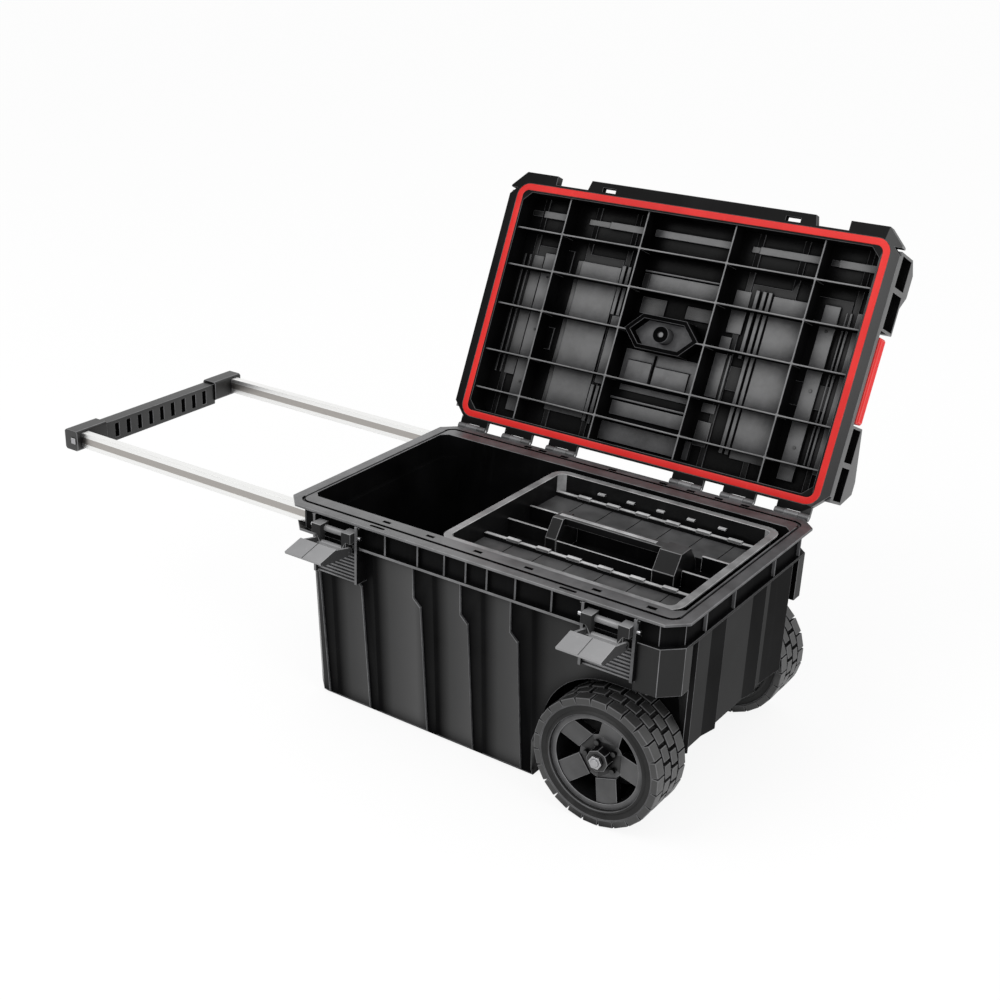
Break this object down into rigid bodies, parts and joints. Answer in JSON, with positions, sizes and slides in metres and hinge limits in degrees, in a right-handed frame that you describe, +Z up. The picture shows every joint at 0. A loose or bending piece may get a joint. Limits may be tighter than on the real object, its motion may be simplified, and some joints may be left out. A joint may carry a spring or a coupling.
{
  "type": "rolling toolbox",
  "caption": "Wheeled plastic toolbox with a hinged ribbed lid, pull-out handle, latches and a lift-out tray, shown open.",
  "frame": {"origin": "floor plane under the middle of the rim, on the tub's underside", "axes": "+X towards the wheels, +Y towards the lid hinge, +Z up"},
  "size_m": [1.143, 0.7176, 0.7058],
  "materials": {
    "tub_plastic": "satin black, lightly grained",
    "lid_plastic": "satin black, lightly grained",
    "gasket_rubber": "smooth red rubber",
    "strip_plastic": "satin red",
    "latch_plastic": "satin dark grey",
    "pin_steel": "turned steel",
    "rod_aluminium": "drawn, satin anodised",
    "grip_plastic": "satin black",
    "tyre_rubber": "matt black rubber",
    "rim_plastic": "satin black",
    "tray_plastic": "satin black"
  },
  "bodies": {
    "tub": {"tub_shell": "tub_plastic", "hinge_pins": "pin_steel", "axle": "pin_steel", "axle_washers": "pin_steel", "axle_nuts": "pin_steel", "claw_pin_left": "pin_steel", "claw_pin_right": "pin_steel"},
    "lid": {"lid_shell": "lid_plastic", "lid_gasket": "gasket_rubber", "side_strip_left": "strip_plastic", "side_strip_right": "strip_plastic"},
    "claw_left": {"latch_claw_left": "latch_plastic", "lever_pin_left": "pin_steel"},
    "claw_right": {"latch_claw_right": "latch_plastic", "lever_pin_right": "pin_steel"},
    "lever_left": {"latch_lever_left": "latch_plastic"},
    "lever_right": {"latch_lever_right": "latch_plastic"},
    "pull_handle": {"handle_rod_front": "rod_aluminium", "handle_rod_back": "rod_aluminium", "rod_stop_front": "grip_plastic", "rod_stop_back": "grip_plastic", "handle_grip": "grip_plastic", "grip_rivets": "pin_steel"},
    "wheel_front": {"tyre_front": "tyre_rubber", "wheel_rim_front": "rim_plastic"},
    "wheel_back": {"tyre_back": "tyre_rubber", "wheel_rim_back": "rim_plastic"},
    "tray": {"tray_shell": "tray_plastic", "tray_handle": "tray_plastic"}
  },
  "joints": [
    {"name": "lid_hinge", "type": "hinge", "parent": "tub", "child": "lid", "pos_m": [0, 0.2122, 0.3166], "axis": [-1, 0, 0], "range_deg": [-113.6, 0]},
    {"name": "handle_slide", "type": "slide", "parent": "tub", "child": "pull_handle", "axis": [-1, 0, 0], "range_m": [-0.45, 0]},
    {"name": "tray_lift", "type": "slide", "parent": "tub", "child": "tray", "axis": [0, 0, 1], "range_m": [0, 0.35]},
    {"name": "claw_turn_left", "type": "hinge", "parent": "tub", "child": "claw_left", "pos_m": [-0.224, -0.206, 0.295], "axis": [-1, 0, 0], "range_deg": [-6, 0]},
    {"name": "lever_turn_left", "type": "hinge", "parent": "claw_left", "child": "lever_left", "pos_m": [-0.224, -0.215, 0.275], "axis": [-1, 0, 0], "range_deg": [-82, 0]},
    {"name": "claw_turn_right", "type": "hinge", "parent": "tub", "child": "claw_right", "pos_m": [0.224, -0.206, 0.295], "axis": [-1, 0, 0], "range_deg": [-6, 0]},
    {"name": "lever_turn_right", "type": "hinge", "parent": "claw_right", "child": "lever_right", "pos_m": [0.224, -0.215, 0.275], "axis": [-1, 0, 0], "range_deg": [-82, 0]},
    {"name": "wheel_spin_front", "type": "hinge", "parent": "tub", "child": "wheel_front", "pos_m": [0.227, -0.187, 0.0945], "axis": [0, 1, 0], "continuous": true},
    {"name": "wheel_spin_back", "type": "hinge", "parent": "tub", "child": "wheel_back", "pos_m": [0.227, 0.187, 0.0945], "axis": [0, 1, 0], "continuous": true}
  ]
}
